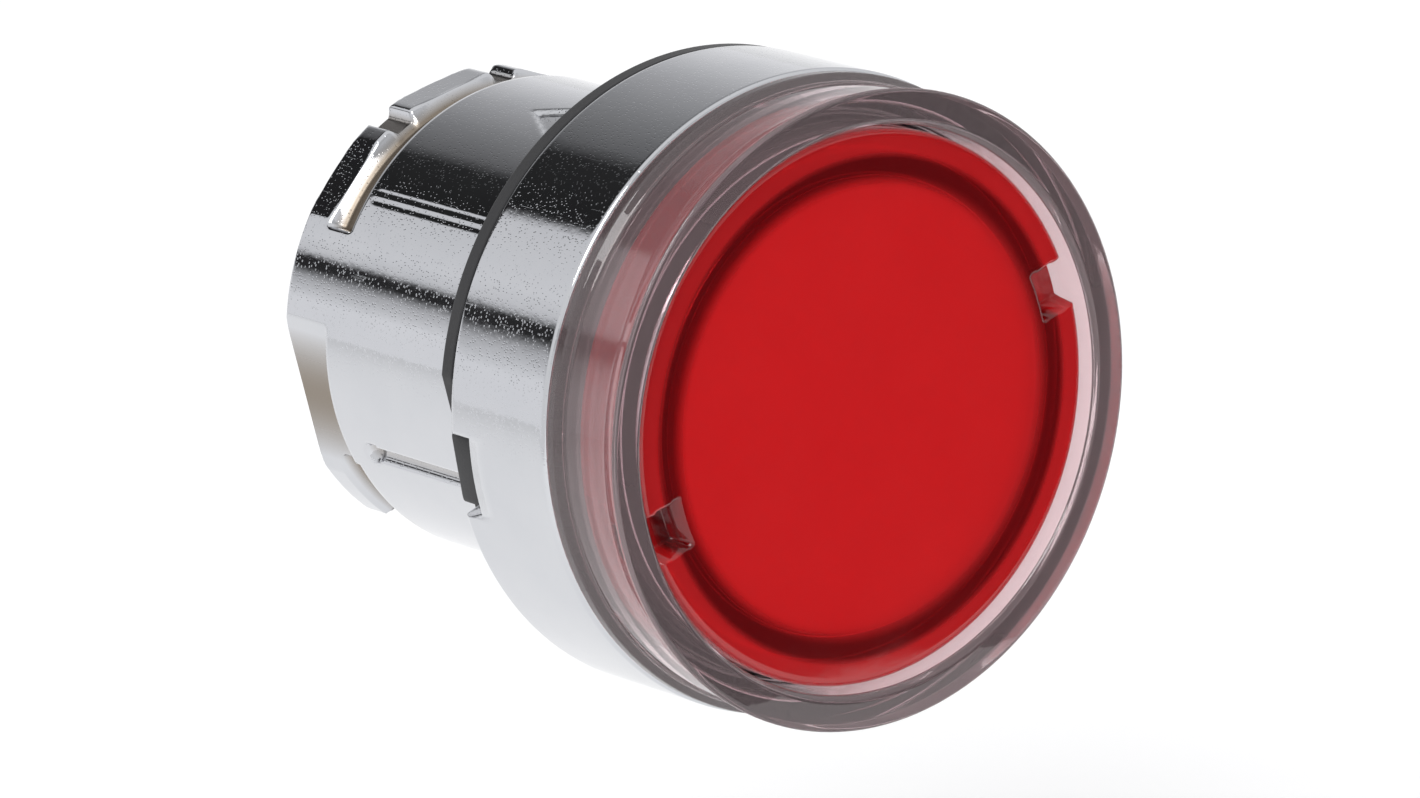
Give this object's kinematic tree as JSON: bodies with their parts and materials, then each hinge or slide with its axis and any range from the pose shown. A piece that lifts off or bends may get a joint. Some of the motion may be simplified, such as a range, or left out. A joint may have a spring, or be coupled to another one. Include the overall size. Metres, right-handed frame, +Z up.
{
  "type": "push button head",
  "caption": "Flush illuminated push-button head for a 22.5 mm panel hole: chrome bezel and barrel, clear guard ring, red lens, spring return.",
  "frame": {"origin": "centre of the gasket's rear face, which lies on the front surface of the panel", "axes": "+Y along the barrel into the panel, the lens faces -Y, +Z up at the arrow mark"},
  "size_m": [0.029, 0.0306, 0.029],
  "materials": {
    "chrome_plated_zinc": "bright chrome plate on a zinc die casting",
    "black_rubber": "matt moulded nitrile rubber",
    "grey_silicone": "satin moulded silicone rubber",
    "clear_polycarbonate": "clear moulded, polished",
    "red_polycarbonate": "translucent red moulded, satin face",
    "opal_polycarbonate": "opal moulded",
    "black_plastic": "moulded, fine texture",
    "white_plastic": "moulded, smooth",
    "natural_acetal": "moulded acetal",
    "spring_steel": "drawn and oiled",
    "zinc_plated_steel": "bright zinc plate"
  },
  "bodies": {
    "head": {"body_casting": "chrome_plated_zinc", "panel_gasket": "black_rubber", "guard_ring": "clear_polycarbonate", "guard_seal": "grey_silicone", "guide_bush": "natural_acetal", "lip_seal": "black_rubber", "seal_retainer": "black_plastic", "return_spring": "spring_steel", "spring_seat": "zinc_plated_steel", "rear_circlip": "spring_steel"},
    "button": {"lens_cap": "red_polycarbonate", "diffuser_disc": "opal_polycarbonate", "lens_holder": "black_plastic", "holder_seal": "black_rubber", "plunger": "white_plastic", "contact_pusher": "black_plastic", "light_tunnel": "white_plastic"}
  },
  "joints": [
    {"name": "button_press", "type": "slide", "parent": "head", "child": "button", "axis": [0, 1, 0], "range_m": [0, 0.0043], "stiffness_N_per_m": 230, "springref_m": -0.0065, "deforming": ["return_spring"]}
  ]
}
